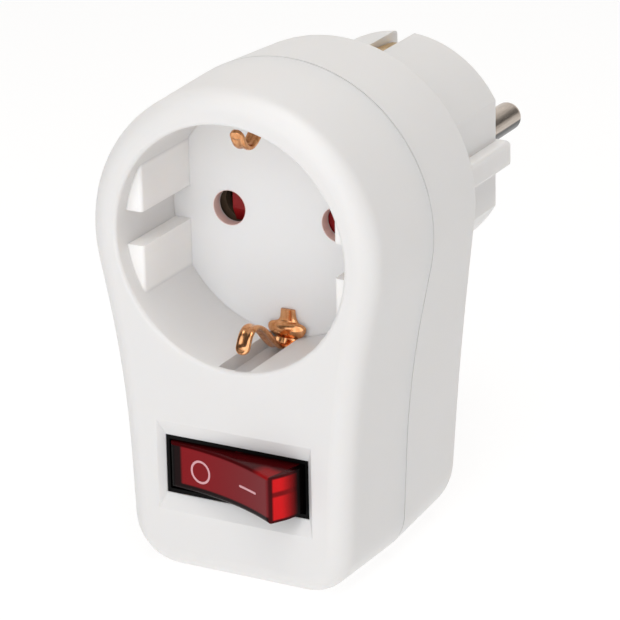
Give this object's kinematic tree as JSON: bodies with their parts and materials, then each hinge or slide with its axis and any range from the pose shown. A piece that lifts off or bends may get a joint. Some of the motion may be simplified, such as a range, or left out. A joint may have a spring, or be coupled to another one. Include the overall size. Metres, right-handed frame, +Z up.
{
  "type": "switched plug adapter",
  "caption": "Earthed round-pin plug-through adapter with one shuttered socket in front and a lit two-pole rocker switch below it.",
  "frame": {"origin": "centre of the bounding footprint, on the plane that the base stands on", "axes": "+X right as seen from the front, +Y from the socket towards the plug pins, +Z up"},
  "size_m": [0.05, 0.084, 0.0795],
  "materials": {
    "white_abs": "satin moulded",
    "black_nylon": "moulded",
    "red_polycarbonate": "translucent, polished",
    "red_nylon": "moulded",
    "carrier_resin": "moulded",
    "bronze": "rolled",
    "brass": "rolled",
    "nickel": "satin plated",
    "zinc_steel": "zinc plated",
    "spring_steel": "drawn wire",
    "lamp_glass": "clear",
    "resistor_lacquer": "lacquered"
  },
  "bodies": {
    "casing": {"front_cover": "white_abs", "rear_housing": "white_abs", "casing_screws": "zinc_steel", "left_pin": "nickel", "right_pin": "nickel", "left_feed_strip": "brass", "right_feed_strip": "brass", "left_socket_contact": "brass", "right_socket_contact": "brass", "contact_carrier": "carrier_resin", "shutter_spring": "spring_steel", "upper_earth_contact": "bronze", "lower_earth_contact": "bronze", "earth_strap": "bronze", "plug_earth_bracket": "brass", "earth_rivets": "nickel", "switch_housing": "black_nylon", "upper_centre_terminal": "brass", "lower_centre_terminal": "brass", "upper_fixed_contact": "brass", "lower_fixed_contact": "brass", "indicator_lamp": "lamp_glass", "lamp_resistor": "resistor_lacquer"},
    "rocker": {"rocker": "red_polycarbonate", "upper_plunger": "black_nylon", "lower_plunger": "black_nylon", "upper_plunger_spring": "spring_steel", "lower_plunger_spring": "spring_steel"},
    "upper_lever": {"upper_contact_lever": "brass"},
    "lower_lever": {"lower_contact_lever": "brass"},
    "shutter": {"pin_shutter": "red_nylon"}
  },
  "joints": [
    {"name": "rocker_turn", "type": "hinge", "parent": "casing", "child": "rocker", "pos_m": [0, -0.03458, 0.01745], "axis": [0, 0, 1], "range_deg": [0, 32.8]},
    {"name": "upper_lever_turn", "type": "hinge", "parent": "casing", "child": "upper_lever", "pos_m": [0, -0.02408, 0.01925], "axis": [0, 0, 1], "range_deg": [-16, 0]},
    {"name": "lower_lever_turn", "type": "hinge", "parent": "casing", "child": "lower_lever", "pos_m": [0, -0.02408, 0.01565], "axis": [0, 0, 1], "range_deg": [-16, 0]},
    {"name": "shutter_turn", "type": "hinge", "parent": "casing", "child": "shutter", "pos_m": [0, -0.01708, 0.05445], "axis": [0, 1, 0], "range_deg": [0, 38], "stiffness_Nm_per_rad": 0.002, "springref_deg": -20.05, "deforming": ["shutter_spring"]}
  ],
  "couplings": [
    {"joint": "upper_lever_turn", "follows": "rocker_turn", "ratio": -0.4878},
    {"joint": "lower_lever_turn", "follows": "rocker_turn", "ratio": -0.4878}
  ]
}
